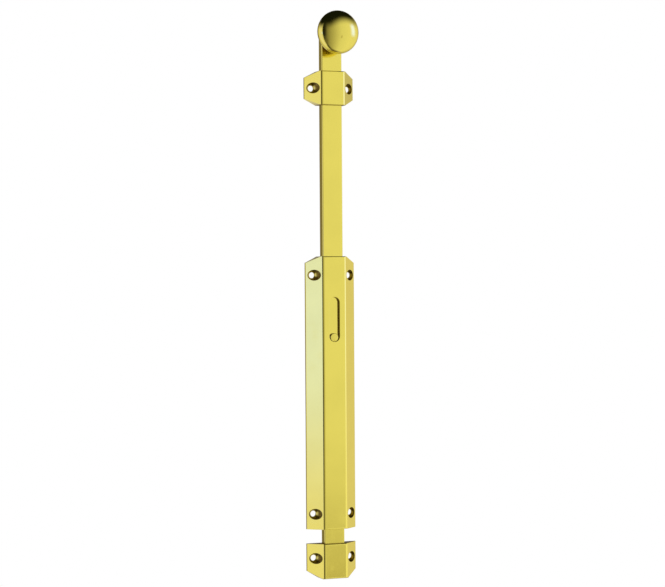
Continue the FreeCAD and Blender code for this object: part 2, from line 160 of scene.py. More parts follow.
class BoltStudio(bpy.types.PropertyGroup):
    """Camera, floor and lamps."""

    camera_turn: bpy.props.FloatProperty(
        name="Camera turn",
        description="How far the camera stands to the left of the bolt's front",
        subtype="ANGLE",
        default=math.radians(22.0),
    )
    camera_roll: bpy.props.FloatProperty(
        name="Camera roll",
        description="How far the camera leans",
        subtype="ANGLE",
        default=math.radians(-0.36),
    )
    camera_distance: length("Camera distance", "From the bolt's middle line to the camera", 1500.0)
    camera_height: length("Camera height", "Height above the middle of the casing's screw holes", 75.2)
    camera_aside: length(
        "Camera aside", "Shift to the camera's right, which puts the bolt left of the middle", 2.6
    )
    lens: bpy.props.FloatProperty(
        name="Lens",
        description="Focal length on a 36 mm wide sensor, in millimetres",
        unit="CAMERA",
        default=108.4,
    )
    floor_gap: length("Floor gap", "Floor below the bolt's lowest point", 165.0)
    floor_radius: length("Floor radius", "Radius of the round floor", 900.0)
    floor_tone: colour("Floor", "Colour of the pale floor", (0.86, 0.86, 0.85))
    lamp_power: bpy.props.FloatProperty(
        name="Lamps", description="Power of each soft lamp", unit="POWER", min=0, default=26.0
    )
    lamp_size: length("Lamp size", "Width of each soft square lamp", 1600.0)


# Modelling by hand

def select_only(piece):
    bpy.ops.object.select_all(action="DESELECT")
    piece.select_set(True)
    bpy.context.view_layer.objects.active = piece


def add_block(name, low, high):
    """A block between two corners, with its place in its mesh."""
    bpy.ops.object.select_all(action="DESELECT")
    bpy.ops.mesh.primitive_cube_add(size=1.0, location=(low + high) / 2, scale=high - low)
    block = bpy.context.object
    block.name = name
    bpy.ops.object.transform_apply(location=True, rotation=True, scale=True)
    return block


def slice_off(piece, place, normal):
    """Cuts away what lies beyond a plane, and closes the cut."""
    select_only(piece)
    bpy.ops.object.mode_set(mode="EDIT")
    bpy.ops.mesh.select_all(action="SELECT")
    bpy.ops.mesh.bisect(
        plane_co=place,
        plane_no=Vector(normal).normalized(),
        use_fill=True,
        clear_outer=True,
        threshold=WELD,
    )
    bpy.ops.object.mode_set(mode="OBJECT")


def round_edges(piece, is_wanted, offset, segments):
    """Rounds the edges that pass a test, back to an offset from each."""
    select_only(piece)
    bpy.ops.object.mode_set(mode="EDIT")
    bpy.ops.mesh.select_mode(type="EDGE")
    bpy.ops.mesh.select_all(action="DESELECT")
    mesh = bmesh.from_edit_mesh(piece.data)
    wanted = [edge for edge in mesh.edges if is_wanted(edge)]
    if not wanted:
        raise RuntimeError(piece.name + " has no such edge")
    for edge in wanted:
        edge.select_set(True)
    bmesh.update_edit_mesh(piece.data)
    bpy.ops.mesh.bevel(offset=offset, segments=segments, affect="EDGES")
    bpy.ops.object.mode_set(mode="OBJECT")


def cut_out(piece, cutter):
    """Takes a cutter's volume out of a piece, and clears the cutter away."""
    select_only(piece)
    cut = piece.modifiers.new("cut", "BOOLEAN")
    cut.operation = "DIFFERENCE"
    cut.solver = "MANIFOLD"
    cut.object = cutter
    bpy.ops.object.modifier_apply(modifier=cut.name)
    bpy.data.objects.remove(cutter)


def arc(across, forward, radius, first_angle, last_angle, steps):
    """Points of an arc on an outline. Angles start from straight across, towards the front."""
    step = (last_angle - first_angle) / steps
    angles = [first_angle + step * i for i in range(steps + 1)]
    return [(across + radius * math.cos(a), forward + radius * math.sin(a)) for a in angles]


def add_turned(name, outline, across, height, steps):
    """Spins an outline once round an axis from back to front.

    Each point is a radius and a distance in front of the mounting plane."""
    places = [Vector((across + radius, -forward, height)) for radius, forward in outline]

    # A small plane, merged to one point, starts the outline
    bpy.ops.object.select_all(action="DESELECT")
    bpy.ops.mesh.primitive_plane_add(size=MM, location=places[0])
    turned = bpy.context.object
    turned.name = name
    bpy.ops.object.transform_apply(location=True, rotation=True, scale=True)
    bpy.ops.object.mode_set(mode="EDIT")
    bpy.ops.mesh.select_mode(type="VERT")
    bpy.ops.mesh.select_all(action="SELECT")
    bpy.ops.mesh.merge(type="CENTER")
    for place, follower in zip(places, places[1:]):
        bpy.ops.mesh.extrude_region_move(TRANSFORM_OT_translate={"value": follower - place})
    bpy.ops.mesh.select_all(action="SELECT")
    bpy.ops.mesh.spin(steps=steps, angle=math.tau, center=(across, 0, height), axis=(0, 1, 0))
    bpy.ops.mesh.select_all(action="SELECT")
    bpy.ops.mesh.remove_doubles(threshold=WELD)
    bpy.ops.mesh.normals_make_consistent(inside=False)
    bpy.ops.object.mode_set(mode="OBJECT")
    return turned


def smooth_off(piece, sharp_from=35.0):
    """Shades rounded stretches smooth, keeps the flats flat, and keeps edges past an angle sharp."""
    select_only(piece)
    bpy.ops.object.shade_smooth_by_angle(angle=math.radians(sharp_from))
    weighted = piece.modifiers.new("weighted", "WEIGHTED_NORMAL")
    weighted.keep_sharp = True
    bpy.ops.object.modifier_apply(modifier=weighted.name)


def is_at(value, target):
    return abs(value - target) < NEAR


def stand_in(piece, node, body, material):
    """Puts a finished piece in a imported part's place."""
    piece.data.materials.clear()
    piece.data.materials.append(material)
    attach(piece, body)
    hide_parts(node)


def refinish(node, material):
    """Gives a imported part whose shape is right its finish."""
    piece = frame["nodes"][node]
    piece.data.materials.clear()
    piece.data.materials.append(material)


# Pieces of the bevelled section

# The ends of a length of the section
TOP = 1
BOTTOM = -1


def add_section(name, node, shape):
    """A length of the bevelled section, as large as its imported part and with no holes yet."""
    low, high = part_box(node)
    piece = add_block(name, low, high)
    half_flat = shape.flat_width / 2
    front = low.y
    for side in (-1, 1):
        run = high.x - half_flat
        drop = -front - shape.edge_height
        slice_off(piece, (side * half_flat, front, 0), (side * drop, -run, 0))
    return piece


def cut_corners(piece, node, shape, end, drop):
    """Cuts both wings' corners at an end, which is TOP or BOTTOM."""
    low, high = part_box(node)
    level = high.z if end == TOP else low.z
    start = shape.flat_width / 2 + shape.corner_start
    for side in (-1, 1):
        slice_off(piece, (side * start, 0, level), (side * drop, 0, end * (high.x - start)))


def soften_section(piece, node, shape):
    """Rounds the long front edges and the outline of both ends, but not at the back."""
    low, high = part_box(node)
    half_flat = shape.flat_width / 2
    wing = -shape.edge_height
    slope = math.atan2(-low.y - shape.edge_height, high.x - half_flat)

    def is_front_edge(edge):
        return all(is_at(abs(v.co.x), half_flat) and is_at(v.co.y, low.y) for v in edge.verts)

    def is_wing_edge(edge):
        return all(is_at(abs(v.co.x), high.x) and is_at(v.co.y, wing) for v in edge.verts)

    def is_end_edge(edge):
        # The ends and the cut corners face up or down, and the long faces don't
        ends = [abs(face.normal.z) > 0.3 for face in edge.link_faces]
        at_back = all(is_at(v.co.y, 0) for v in edge.verts)
        return ends.count(True) == 1 and not at_back

    front_offset = shape.front_rounding * math.tan(slope / 2)
    wing_offset = shape.wing_rounding * math.tan(math.pi / 4 - slope / 2)
    round_edges(piece, is_front_edge, front_offset, segments=8)
    round_edges(piece, is_wing_edge, wing_offset, segments=4)
    round_edges(piece, is_end_edge, shape.end_rounding, segments=2)


def bore_section(piece, clearance):
    """Cuts the bore that the rod slides in."""
    room = Vector((clearance, clearance, BORE_SPARE))
    cut_out(piece, add_block("bore", ROD_LOW - room, ROD_HIGH + room))


def drill_screw_holes(piece, shape, heights):
    """Cuts pairs of wood screw holes: a counterbore, a countersink at its foot and a hole."""
    hole = shape.hole_diameter / 2
    head = shape.head_diameter / 2
    seat = shape.head_seat
    outline = [(0, -CUTTER_SPARE), (hole, -CUTTER_SPARE), (hole, seat - (head - hole))]
    outline += [(head, seat), (head, DRILL_REACH), (0, DRILL_REACH)]
    for height in heights:
        for side in (-1, 1):
            drill = add_turned("drill", outline, side * shape.hole_across, height, steps=72)
            cut_out(piece, drill)


def model_length(name, node, shape, ends, corner_drop, clearance, hole_heights):
    """A length of the section with its corners cut at some ends, its bore and its screw holes."""
    piece = add_section(name, node, shape)
    for end in ends:
        cut_corners(piece, node, shape, end, corner_drop)
    soften_section(piece, node, shape)
    bore_section(piece, clearance)
    drill_screw_holes(piece, shape, hole_heights)
    return piece


def cut_slot(piece, shape):
    """Cuts the slot that the stop pin shows in, from the pin up over the rod's travel."""
    radius = shape.slot_width / 2
    bottom = PIN_LOW.z
    top = PIN_HIGH.z + ROD_TRAVEL
    front = CASING_LOW.y
    low = Vector((-radius, front - CUTTER_SPARE, bottom))
    high = Vector((radius, ROD_LOW.y, top))
    cutter = add_block("slot_cutter", low, high)

    def is_corner(edge):
        box_corner = all(is_at(v.co.z, bottom) or is_at(v.co.z, top) for v in edge.verts)
        return box_corner and is_at((edge.verts[0].co - edge.verts[1].co).length, high.y - low.y)

    # A hair less than half the width, so that the two roundings at an end don't meet
    round_edges(cutter, is_corner, radius - 2 * WELD, segments=24)
    cut_out(piece, cutter)

    def is_rim(edge):
        in_front = all(is_at(v.co.y, front) and abs(v.co.x) < radius + NEAR for v in edge.verts)
        in_reach = all(bottom - NEAR < v.co.z < top + NEAR for v in edge.verts)
        walls = [abs(face.normal.y) < 0.5 for face in edge.link_faces]
        return in_front and in_reach and walls.count(True) == 1

    round_edges(piece, is_rim, shape.slot_rim, segments=2)


# Shader maths

class Value:
    """A socket of a shader that can be used in sums with other sockets and with numbers."""

    def __init__(self, shader, socket):
        self.shader = shader
        self.socket = socket

    def __add__(self, other):
        return self.shader.maths("ADD", self, other)

    def __radd__(self, other):
        return self.shader.maths("ADD", other, self)

    def __sub__(self, other):
        return self.shader.maths("SUBTRACT", self, other)

    def __rsub__(self, other):
        return self.shader.maths("SUBTRACT", other, self)

    def __mul__(self, other):
        return self.shader.maths("MULTIPLY", self, other)

    def __rmul__(self, other):
        return self.shader.maths("MULTIPLY", other, self)

    def __truediv__(self, other):
        return self.shader.maths("DIVIDE", self, other)

    def __neg__(self):
        return self.shader.maths("MULTIPLY", self, -1.0)


class Shader:
    """The node tree of a material or of the world."""

    def __init__(self, tree):
        self.tree = tree
        tree.nodes.clear()

    def node(self, kind, settings=None, sockets=None):
        """Adds a node, makes its settings, then fills or links its sockets."""
        made = self.tree.nodes.new(kind)
        for name, setting in (settings or {}).items():
            if name == "stops":
                self.set_stops(made.color_ramp, setting)
            else:
                setattr(made, name, setting)
        for name, given in (sockets or {}).items():
            if isinstance(given, Value):
                self.tree.links.new(given.socket, made.inputs[name])
            else:
                made.inputs[name].default_value = given
        return made

    def set_stops(self, ramp, stops):
        """Gives a colour ramp its stops, each a place from 0 to 1 and a colour."""
        while len(ramp.elements) < len(stops):
            ramp.elements.new(1.0)
        for element, (place, tint) in zip(ramp.elements, stops):
            element.position = place
            element.color = (*tint, 1.0)

    def read(self, kind, output, settings=None, sockets=None):
        """Adds a node and gives one of its outputs."""
        return Value(self, self.node(kind, settings, sockets).outputs[output])

    def maths(self, operation, *terms):
        return self.read("ShaderNodeMath", 0, {"operation": operation}, dict(enumerate(terms)))

    def smooth(self, value, low, high):
        """Goes smoothly from 0 at low to 1 at high."""
        return self.read(
            "ShaderNodeMapRange",
            0,
            {"interpolation_type": "SMOOTHSTEP"},
            {"Value": value, "From Min": low, "From Max": high},
        )

    def near(self, value, centre, half_width, softness):
        """1 near the centre and 0 further off. The softness is the width of its soft edge."""
        away = self.maths("ABSOLUTE", value - centre)
        return 1.0 - self.smooth(away, half_width - softness / 2, half_width + softness / 2)

    def mix_colour(self, share, first, second):
        colours = [(*c, 1.0) if isinstance(c, tuple) else c for c in (first, second)]
        return self.read(
            "ShaderNodeMix",
            2,
            {"data_type": "RGBA", "blend_type": "MIX", "clamp_result": False},
            {0: share, 6: colours[0], 7: colours[1]},
        )

    def noise(self, place, scale, detail=2.0, roughness=0.5):
        """A noise pattern. Places are in metres, so the scale counts its bumps in a metre."""
        return self.read(
            "ShaderNodeTexNoise",
            "Fac",
            {"noise_dimensions": "3D"},
            {"Vector": place, "Scale": scale, "Detail": detail, "Roughness": roughness},
        )

    def split(self, place):
        """The x, y and z of a place."""
        parts = self.node("ShaderNodeSeparateXYZ", None, {0: place})
        return tuple(Value(self, parts.outputs[i]) for i in range(3))

    def stretched(self, place, scale, turn=0.0):
        """The place, turned about Y and scaled along each axis. Patterns on it run out in lines."""
        return self.read(
            "ShaderNodeMapping",
            0,
            {"vector_type": "POINT"},
            {"Vector": place, "Rotation": (0.0, math.radians(turn), 0.0), "Scale": scale},
        )


# Metals

# How strongly the brown painted shade covers the brass, from 0 for clean brass to 1
COUNTERSINK_SHADE = 0.30
COUNTERBORE_SHADE = 0.85
CASING_END_SHADE = 0.1
BRACKET_END_SHADE = 0.9

# The middle of the soft edge of the painted shade on the knob's back lies this far behind the middle of
# the shoulder
SHADE_BEHIND = 4.5 * MM

# Rings of a turned surface in a metre
RINGS = 5200.0


def start_metal(name):
    """A material with an empty tree, and the place on the object that its patterns read."""
    material = bpy.data.materials.new(name)
    material.use_nodes = True
    shader = Shader(material.node_tree)
    place = shader.read("ShaderNodeTexCoord", "Object")
    return material, shader, place


def finish_metal(shader, tint, roughness, height):
    """Closes a material with its metal surface. Heights are in metres."""
    normal = shader.read(
        "ShaderNodeBump", 0, None, {"Height": height, "Strength": 1.0, "Distance": 1.0}
    )
    surface = shader.read(
        "ShaderNodeBsdfPrincipled",
        0,
        None,
        {"Base Color": tint, "Roughness": roughness, "Metallic": 1.0, "Normal": normal},
    )
    shader.node("ShaderNodeOutputMaterial", None, {"Surface": surface})


def tinted(tint, factor):
    return tuple(min(1.0, part * factor) for part in tint)


def brass_tone(shader, place, brass):
    """The brass's colour, a little deeper in soft patches where the lacquer is thicker."""
    patches = shader.smooth(shader.noise(place, scale=38.0, detail=3.0), 0.32, 0.68)
    return shader.mix_colour(patches, tinted(brass, 1.015), tinted(brass, 0.975))


def handling_marks(shader, place):
    """Where hands and cloths have dulled the polish: smears, and hairlines in two directions."""
    smears = shader.noise(place, scale=65.0, detail=4.0, roughness=0.6)
    smears = shader.smooth(smears, 0.52, 0.78)
    first = shader.noise(shader.stretched(place, (3200.0, 3200.0, 70.0), turn=12.0), scale=1.0)
    second = shader.noise(shader.stretched(place, (2900.0, 2900.0, 90.0), turn=-31.0), scale=1.0)
    hairlines = 0.08 * shader.smooth(first, 0.70, 0.76) + 0.07 * shader.smooth(second, 0.72, 0.78)
    return 0.05 * smears + hairlines


def make_section_brass(name, finish, shape, node, hole_heights, end_shade, with_slot=False):
    """Brass of the bevelled section: draw lines along it, and brown painted shade in its holes, in its
    slot and at its cut ends.
    """
    low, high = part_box(node)
    material, shader, place = start_metal(name)
    x, y, z = shader.split(place)
    across = shader.maths("ABSOLUTE", x)
    brass = tuple(finish.brass)
    worn = shader.near(across, shape.flat_width / 2, half_width=0.5 * MM, softness=0.9 * MM)
    tint = shader.mix_colour(worn, brass_tone(shader, place, brass), tinted(brass, 1.05))
    painted_shade = hole_shade(shader, shape, across, y, z, hole_heights)
    if with_slot:
        painted_shade = painted_shade + slot_shade(shader, shape, across, y, z)

    # Painted shade covers a hair at the top end and a little more at the bottom end, where the
    # underside lies in shade
    cut_end_shade = shader.smooth(z, high.z - 0.12 * MM, high.z - 0.02 * MM)
    cut_end_shade = cut_end_shade + 1.0 - shader.smooth(z, low.z + 0.10 * MM, low.z + 0.60 * MM)
    specks = shader.noise(place, scale=1400.0, detail=3.0)
    painted_shade = (painted_shade + end_shade * cut_end_shade) * (0.8 + 0.35 * specks)
    # The brown mixed in here is painted shade
    tint = shader.mix_colour(painted_shade, tint, tuple(finish.painted_shade_colour))

    lines = shader.noise(shader.stretched(place, (2400.0, 2400.0, 30.0)), scale=1.0)
    waves = shader.noise(shader.stretched(place, (70.0, 70.0, 22.0)), scale=1.0, detail=1.0)
    roughness = finish.polish + 0.03 * lines + 0.28 * painted_shade + handling_marks(shader, place)
    finish_metal(shader, tint, roughness, 0.0007 * MM * lines + 0.012 * MM * waves)
    return material


def hole_shade(shader, shape, across, y, z, hole_heights):
    """Painted shade on the walls of the screw holes: full in the counterbore, thinner on the
    countersink.
    """
    hole = shape.hole_diameter / 2
    head = shape.head_diameter / 2
    painted_shade = 0.0
    for height in hole_heights:
        side = across - shape.hole_across
        rise = z - height
        away = shader.maths("SQRT", side * side + rise * rise)
        inside = 1.0 - shader.smooth(away, head - 0.02 * MM, head + 0.15 * MM)
        wall = shader.smooth(away, hole + 0.5 * MM, head - 0.3 * MM)
        painted_shade = painted_shade + inside * (COUNTERSINK_SHADE + (COUNTERBORE_SHADE - COUNTERSINK_SHADE) * wall)
    return painted_shade * (1.0 - shader.smooth(y, -0.25 * MM, -0.05 * MM))


def slot_shade(shader, shape, across, y, z):
    """Painted shade on the walls of the casing's slot, behind its rim."""
    wall = shape.slot_width / 2
    low = PIN_LOW.z
    high = PIN_HIGH.z + ROD_TRAVEL
    beside = 1.0 - shader.smooth(across, wall + 0.01 * MM, wall + 0.15 * MM)
    along = shader.smooth(z, low - 0.15 * MM, low) * (1.0 - shader.smooth(z, high, high + 0.15 * MM))
    behind_rim = shader.smooth(y, CASING_LOW.y + 0.10 * MM, CASING_LOW.y + 0.25 * MM)
    before_rod = 1.0 - shader.smooth(y, ROD_LOW.y, ROD_LOW.y + 0.5 * MM)
    return beside * along * behind_rim * before_rod


def make_rod_brass(name, finish):
    """Drawn brass with fine lines along the rod, rubbed duller where the guide and casing slide."""
    material, shader, place = start_metal(name)
    lines = shader.noise(shader.stretched(place, (2600.0, 2600.0, 18.0)), scale=1.0)
    rubs = shader.noise(shader.stretched(place, (900.0, 900.0, 6.0)), scale=1.0, detail=3.0)
    rubs = shader.smooth(rubs, 0.5, 0.75)
    waves = shader.noise(shader.stretched(place, (60.0, 60.0, 16.0)), scale=1.0, detail=1.0)
    roughness = finish.polish + 0.04 * lines + 0.03 * rubs + handling_marks(shader, place)
    tint = brass_tone(shader, place, tuple(finish.brass))
    finish_metal(shader, tint, roughness, 0.0008 * MM * lines + 0.010 * MM * waves)
    return material


def make_turned_brass(name, finish, centre, rim=None, back=None):
    """Brass turned on a lathe: fine rings round an axis from back to front.

    Brown painted shade lies at the rim's radius, or behind the back plane."""
    material, shader, place = start_metal(name)
    x, y, z = shader.split(place)
    rise = z - centre
    away = shader.maths("SQRT", x * x + rise * rise)
    rings = shader.read(
        "ShaderNodeTexNoise",
        "Fac",
        {"noise_dimensions": "1D"},
        {"W": away * RINGS + y * RINGS, "Scale": 1.0},
    )
    # Brown painted shade: at the rim, round the edge of the stop pin's head; behind the back plane, on
    # the knob's back that faces the rod
    if rim is not None:
        painted_shade = shader.smooth(away, rim - 0.12 * MM, rim - 0.02 * MM)
    else:
        painted_shade = shader.smooth(y, back - 1.2 * MM, back + 1.2 * MM)
    tint = brass_tone(shader, place, tinted(finish.brass, 0.93))
    tint = shader.mix_colour(painted_shade, tint, tinted(finish.painted_shade_colour, 0.75))
    roughness = finish.polish + 0.03 * rings + 0.2 * painted_shade + handling_marks(shader, place)
    finish_metal(shader, tint, roughness, 0.0003 * MM * rings)
    return material


def make_plain_metal(name, tint, roughness):
    """A drawn or turned metal: a colour that wanders a little, with fine lines round it."""
    material, shader, place = start_metal(name)
    tone = shader.noise(place, scale=300.0, detail=3.0)
    lines = shader.noise(shader.stretched(place, (900.0, 900.0, 3000.0)), scale=1.0)
    tint = shader.mix_colour(tone, tinted(tint, 1.06), tinted(tint, 0.88))
    roughness = roughness + 0.12 * lines + handling_marks(shader, place)
    finish_metal(shader, tint, roughness, 0.003 * MM * lines)
    return material


# Stage

WHITE = (1.0, 1.0, 1.0, 1.0)

# Light round the bolt as its metal shows it: degrees from the front, with the left positive, and colour
RING = (
    (-180, (0.28, 0.25, 0.20)),
    (-157, (0.34, 0.31, 0.26)),
    (-128, (0.58, 0.54, 0.50)),
    (-112, (0.68, 0.64, 0.61)),
    (-103, (0.78, 0.73, 0.70)),
    (-82, (0.92, 0.90, 0.87)),
    (-52, (0.96, 0.95, 0.93)),
    (-36, (0.90, 0.90, 0.88)),
    (-22, (0.86, 0.86, 0.84)),
    (-7, (0.69, 0.68, 0.64)),
    (7, (0.52, 0.51, 0.46)),
    (18, (0.40, 0.39, 0.34)),
    (26, (0.27, 0.26, 0.22)),
    (34, (0.08, 0.08, 0.07)),
    (42, (0.03, 0.03, 0.03)),
    (46, (0.25, 0.24, 0.26)),
    (50, (0.70, 0.69, 0.76)),
    (56, (0.90, 0.88, 0.98)),
    (120, (0.88, 0.85, 0.84)),
    (138, (0.62, 0.58, 0.54)),
    (150, (0.21, 0.18, 0.13)),
    (180, (0.28, 0.25, 0.20)),
)

# Smaller fields on it: turn, half width and softness, then rise, half height and softness, all in
# degrees, and colour
FIELDS = (
    (41.0, 8.0, 10.0, 9.0, 17.0, 10.0, (0.015, 0.015, 0.012)),
    (38.0, 12.0, 8.0, -32.0, 12.0, 8.0, (0.17, 0.155, 0.12)),
    (52.0, 14.0, 16.0, -66.0, 14.0, 14.0, (0.05, 0.05, 0.05)),
    (90.0, 22.0, 14.0, -8.0, 45.0, 20.0, (0.93, 0.92, 1.40)),
    (59.0, 10.0, 8.0, -0.6, 3.8, 5.0, (0.86, 1.04, 2.95)),
    (-66.0, 7.0, 13.0, 11.0, 13.0, 12.0, (1.10, 1.34, 4.90)),
    (-22.0, 2.6, 2.6, -10.3, 2.4, 2.2, (0.76, 0.72, 0.60)),
    (-22.0, 1.2, 1.4, -10.4, 3.6, 6.5, (0.37, 0.33, 0.21)),
    (-112.0, 10.0, 14.0, 9.0, 5.0, 6.0, (0.50, 0.48, 0.60)),
)

# Light low down behind the bolt, overhead and underfoot
BACK_LIGHT = (0.72, 0.69, 0.66)
CEILING = (0.008, 0.010, 0.008)
SHADE_UNDERFOOT = (0.16, 0.13, 0.10)

# The floor's fade to white starts and ends at these shares of its radius
FADE_START = 0.35
FADE_END = 0.97

# Where the lamps stand, and the place that they look at, in metres
LEFT_LAMP = Vector((-1.5, -0.6, 1.5))
RIGHT_LAMP = Vector((1.3, -1.2, 1.6))
LAMPS_AIM = Vector((0.0, 0.0, 0.06))


def make_world():
    """The studio all round: white to the camera, and soft bright and dark fields to the metal."""
    world = bpy.data.worlds.new("studio")
    bpy.context.scene.world = world
    world.use_nodes = True
    shader = Shader(world.node_tree)
    x, y, z = shader.split(shader.read("ShaderNodeTexCoord", "Generated"))
    turn = shader.maths("ARCTAN2", -x, -y) * (180 / math.pi)
    rise = shader.maths("ARCSINE", z) * (180 / math.pi)
    stops = [((angle + 180) / 360, tint) for angle, tint in RING]
    light = shader.read("ShaderNodeValToRGB", 0, {"stops": stops}, {"Fac": (turn + 180.0) / 360.0})

    # All angles from here on are in degrees
    behind = shader.smooth(shader.maths("ABSOLUTE", turn), 128.0, 150.0)
    low = 1.0 - shader.smooth(rise, -20.0, -11.0)
    light = shader.mix_colour(behind * low, light, BACK_LIGHT)
    for turn_to, half_width, side_softness, rise_to, half_height, end_softness, tint in FIELDS:
        share = shader.near(turn, turn_to, half_width, side_softness)
        share = share * shader.near(rise, rise_to, half_height, end_softness)
        light = shader.mix_colour(share, light, tint)

    # The dark ceiling's soft edge lies 25 degrees up, and bows up to 40 degrees at the front right
    bow = (turn + 33.0) / 12.5
    ceiling = shader.maths("MAXIMUM", 40.0 - bow * bow, 25.0)
    overhead = shader.smooth(rise - ceiling, -15.0, 15.0)
    light = shader.mix_colour(overhead, light, CEILING)
    underfoot = 1.0 - shader.smooth(rise, -84.0, -60.0)
    light = shader.mix_colour(underfoot, light, SHADE_UNDERFOOT)
    seen = shader.read("ShaderNodeLightPath", "Is Camera Ray")
    surroundings = shader.read("ShaderNodeBackground", 0, None, {"Color": light, "Strength": 1.0})
    white = shader.read("ShaderNodeBackground", 0, None, {"Color": WHITE, "Strength": 1.0})
    both = shader.read("ShaderNodeMixShader", 0, None, {0: seen, 1: surroundings, 2: white})
    shader.node("ShaderNodeOutputWorld", None, {"Surface": both})


def make_floor(studio):
    """A round pale floor below the bolt, which fades to the white surroundings at its rim.

    Its underside is clear, so that it doesn't hide the bolt from below."""
    height = CAD_BOX[0][2] - studio.floor_gap
    bpy.ops.object.select_all(action="DESELECT")
    bpy.ops.mesh.primitive_circle_add(
        vertices=96, radius=studio.floor_radius, fill_type="NGON", location=(0, 0, height)
    )
    floor = bpy.context.object
    floor.name = "floor"
    bpy.ops.object.transform_apply(location=True, rotation=True, scale=True)
    material, shader, place = start_metal("pale_floor")
    x, y, _ = shader.split(place)
    away = shader.maths("SQRT", x * x + y * y)
    mottle = shader.noise(place, scale=9.0, detail=4.0)
    tint = shader.mix_colour(mottle, tinted(studio.floor_tone, 0.99), tinted(studio.floor_tone, 1.01))
    paper = shader.read("ShaderNodeBsdfDiffuse", 0, None, {"Color": tint, "Roughness": 0.5})
    white = shader.read("ShaderNodeEmission", 0, None, {"Color": WHITE, "Strength": 1.0})
    seen = shader.read("ShaderNodeLightPath", "Is Camera Ray")
    radius = studio.floor_radius
    fade = seen * shader.smooth(away, FADE_START * radius, FADE_END * radius)
    above = shader.read("ShaderNodeMixShader", 0, None, {0: fade, 1: paper, 2: white})
    underside = shader.read("ShaderNodeNewGeometry", "Backfacing")
    clear = shader.read("ShaderNodeBsdfTransparent", 0)
    one_sided = shader.read("ShaderNodeMixShader", 0, None, {0: underside, 1: above, 2: clear})
    shader.node("ShaderNodeOutputMaterial", None, {"Surface": one_sided})
    floor.data.materials.append(material)
    floor.visible_glossy = False


def make_lamp(name, studio, place):
    """A soft square lamp that looks at the middle of the bolt."""
    data = bpy.data.lights.new(name, "AREA")
    data.energy = studio.lamp_power
    data.size = studio.lamp_size
    lamp = bpy.data.objects.new(name, data)
    bpy.context.scene.collection.objects.link(lamp)
    aim = (LAMPS_AIM - place).to_track_quat("-Z", "Y").to_matrix().to_4x4()
    lamp.matrix_world = Matrix.Translation(place) @ aim
    lamp.visible_camera = False
    lamp.visible_glossy = False


def make_camera(studio):
    """A level camera at the photograph's angle."""
    turn = studio.camera_turn
    towards = Vector((math.sin(turn), math.cos(turn), 0.0))
    right = Vector((math.cos(turn), -math.sin(turn), 0.0))
    place = Vector((0.0, 0.0, studio.camera_height)) - towards * studio.camera_distance
    place = place + right * studio.camera_aside
    data = bpy.data.cameras.new("camera")
    data.lens = studio.lens
    data.sensor_width = 36.0
    camera = bpy.data.objects.new("camera", data)
    bpy.context.scene.collection.objects.link(camera)
    aim = towards.to_track_quat("-Z", "Y").to_matrix().to_4x4()
    roll = Matrix.Rotation(studio.camera_roll, 4, "Z")
    camera.matrix_world = Matrix.Translation(place) @ aim @ roll
    bpy.context.scene.camera = camera


class BOLT_OT_stage(bpy.types.Operator):
    """Sets up the world, the floor, the lamps and the camera."""

    bl_idname = "bolt.stage"
    bl_label = "Stage"

    def execute(self, context):
        studio = context.scene.bolt_studio
        context.scene.view_settings.view_transform = "Standard"
        make_world()
        make_floor(studio)
        make_lamp("left_lamp", studio, LEFT_LAMP)
        make_lamp("right_lamp", studio, RIGHT_LAMP)
        make_camera(studio)
        return {"FINISHED"}


class BOLT_OT_casing(bpy.types.Operator):
    """Models the casing: bevelled, with cut upper corners, screw holes and a slot."""

    bl_idname = "bolt.casing"
    bl_label = "Casing"

    def execute(self, context):
        shape = context.scene.bolt_shape
        heights = (CASING_HIGH.z - shape.upper_hole_drop, CASING_LOW.z + shape.lower_hole_rise)
        piece = model_length(
            "casing_body",
            "bolt_casing",
            shape,
            ends=(TOP,),
            corner_drop=shape.upper_corner_drop,
            clearance=shape.bore_clearance,
            hole_heights=heights,
        )
        cut_slot(piece, shape)
        smooth_off(piece)
        finish = context.scene.bolt_finish
        brass = make_section_brass(
            "casing_brass", finish, shape, "bolt_casing", heights, CASING_END_SHADE, with_slot=True
        )
        stand_in(piece, "bolt_casing", "fixings", brass)
        return {"FINISHED"}


class BOLT_OT_brackets(bpy.types.Operator):
    """Models the guide bracket and the keep, cut from the casing's section."""

    bl_idname = "bolt.brackets"
    bl_label = "Guide and keep"

    def execute(self, context):
        shape = context.scene.bolt_shape
        finish = context.scene.bolt_finish
        low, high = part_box("guide_bracket")
        heights = ((low.z + high.z) / 2,)
        guide = model_length(
            "guide_body",
            "guide_bracket",
            shape,
            ends=(BOTTOM, TOP),
            corner_drop=shape.upper_corner_drop,
            clearance=shape.bore_clearance,
            hole_heights=heights,
        )
        smooth_off(guide)
        brass = make_section_brass(
            "guide_brass", finish, shape, "guide_bracket", heights, BRACKET_END_SHADE
        )
        stand_in(guide, "guide_bracket", "fixings", brass)

        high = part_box("keep")[1]
        heights = (high.z - shape.keep_hole_drop,)
        keep = model_length(
            "keep_body",
            "keep",
            shape,
            ends=(BOTTOM,),
            corner_drop=shape.keep_corner_drop,
            clearance=shape.keep_clearance,
            hole_heights=heights,
        )
        smooth_off(keep)
        brass = make_section_brass("keep_brass", finish, shape, "keep", heights, BRACKET_END_SHADE)
        stand_in(keep, "keep", "fixings", brass)
        return {"FINISHED"}


class BOLT_OT_rod(bpy.types.Operator):
    """Finishes the sliding rod."""

    bl_idname = "bolt.rod"
    bl_label = "Rod"

    def execute(self, context):
        refinish("bolt_rod", make_rod_brass("rod_brass", context.scene.bolt_finish))
        return {"FINISHED"}


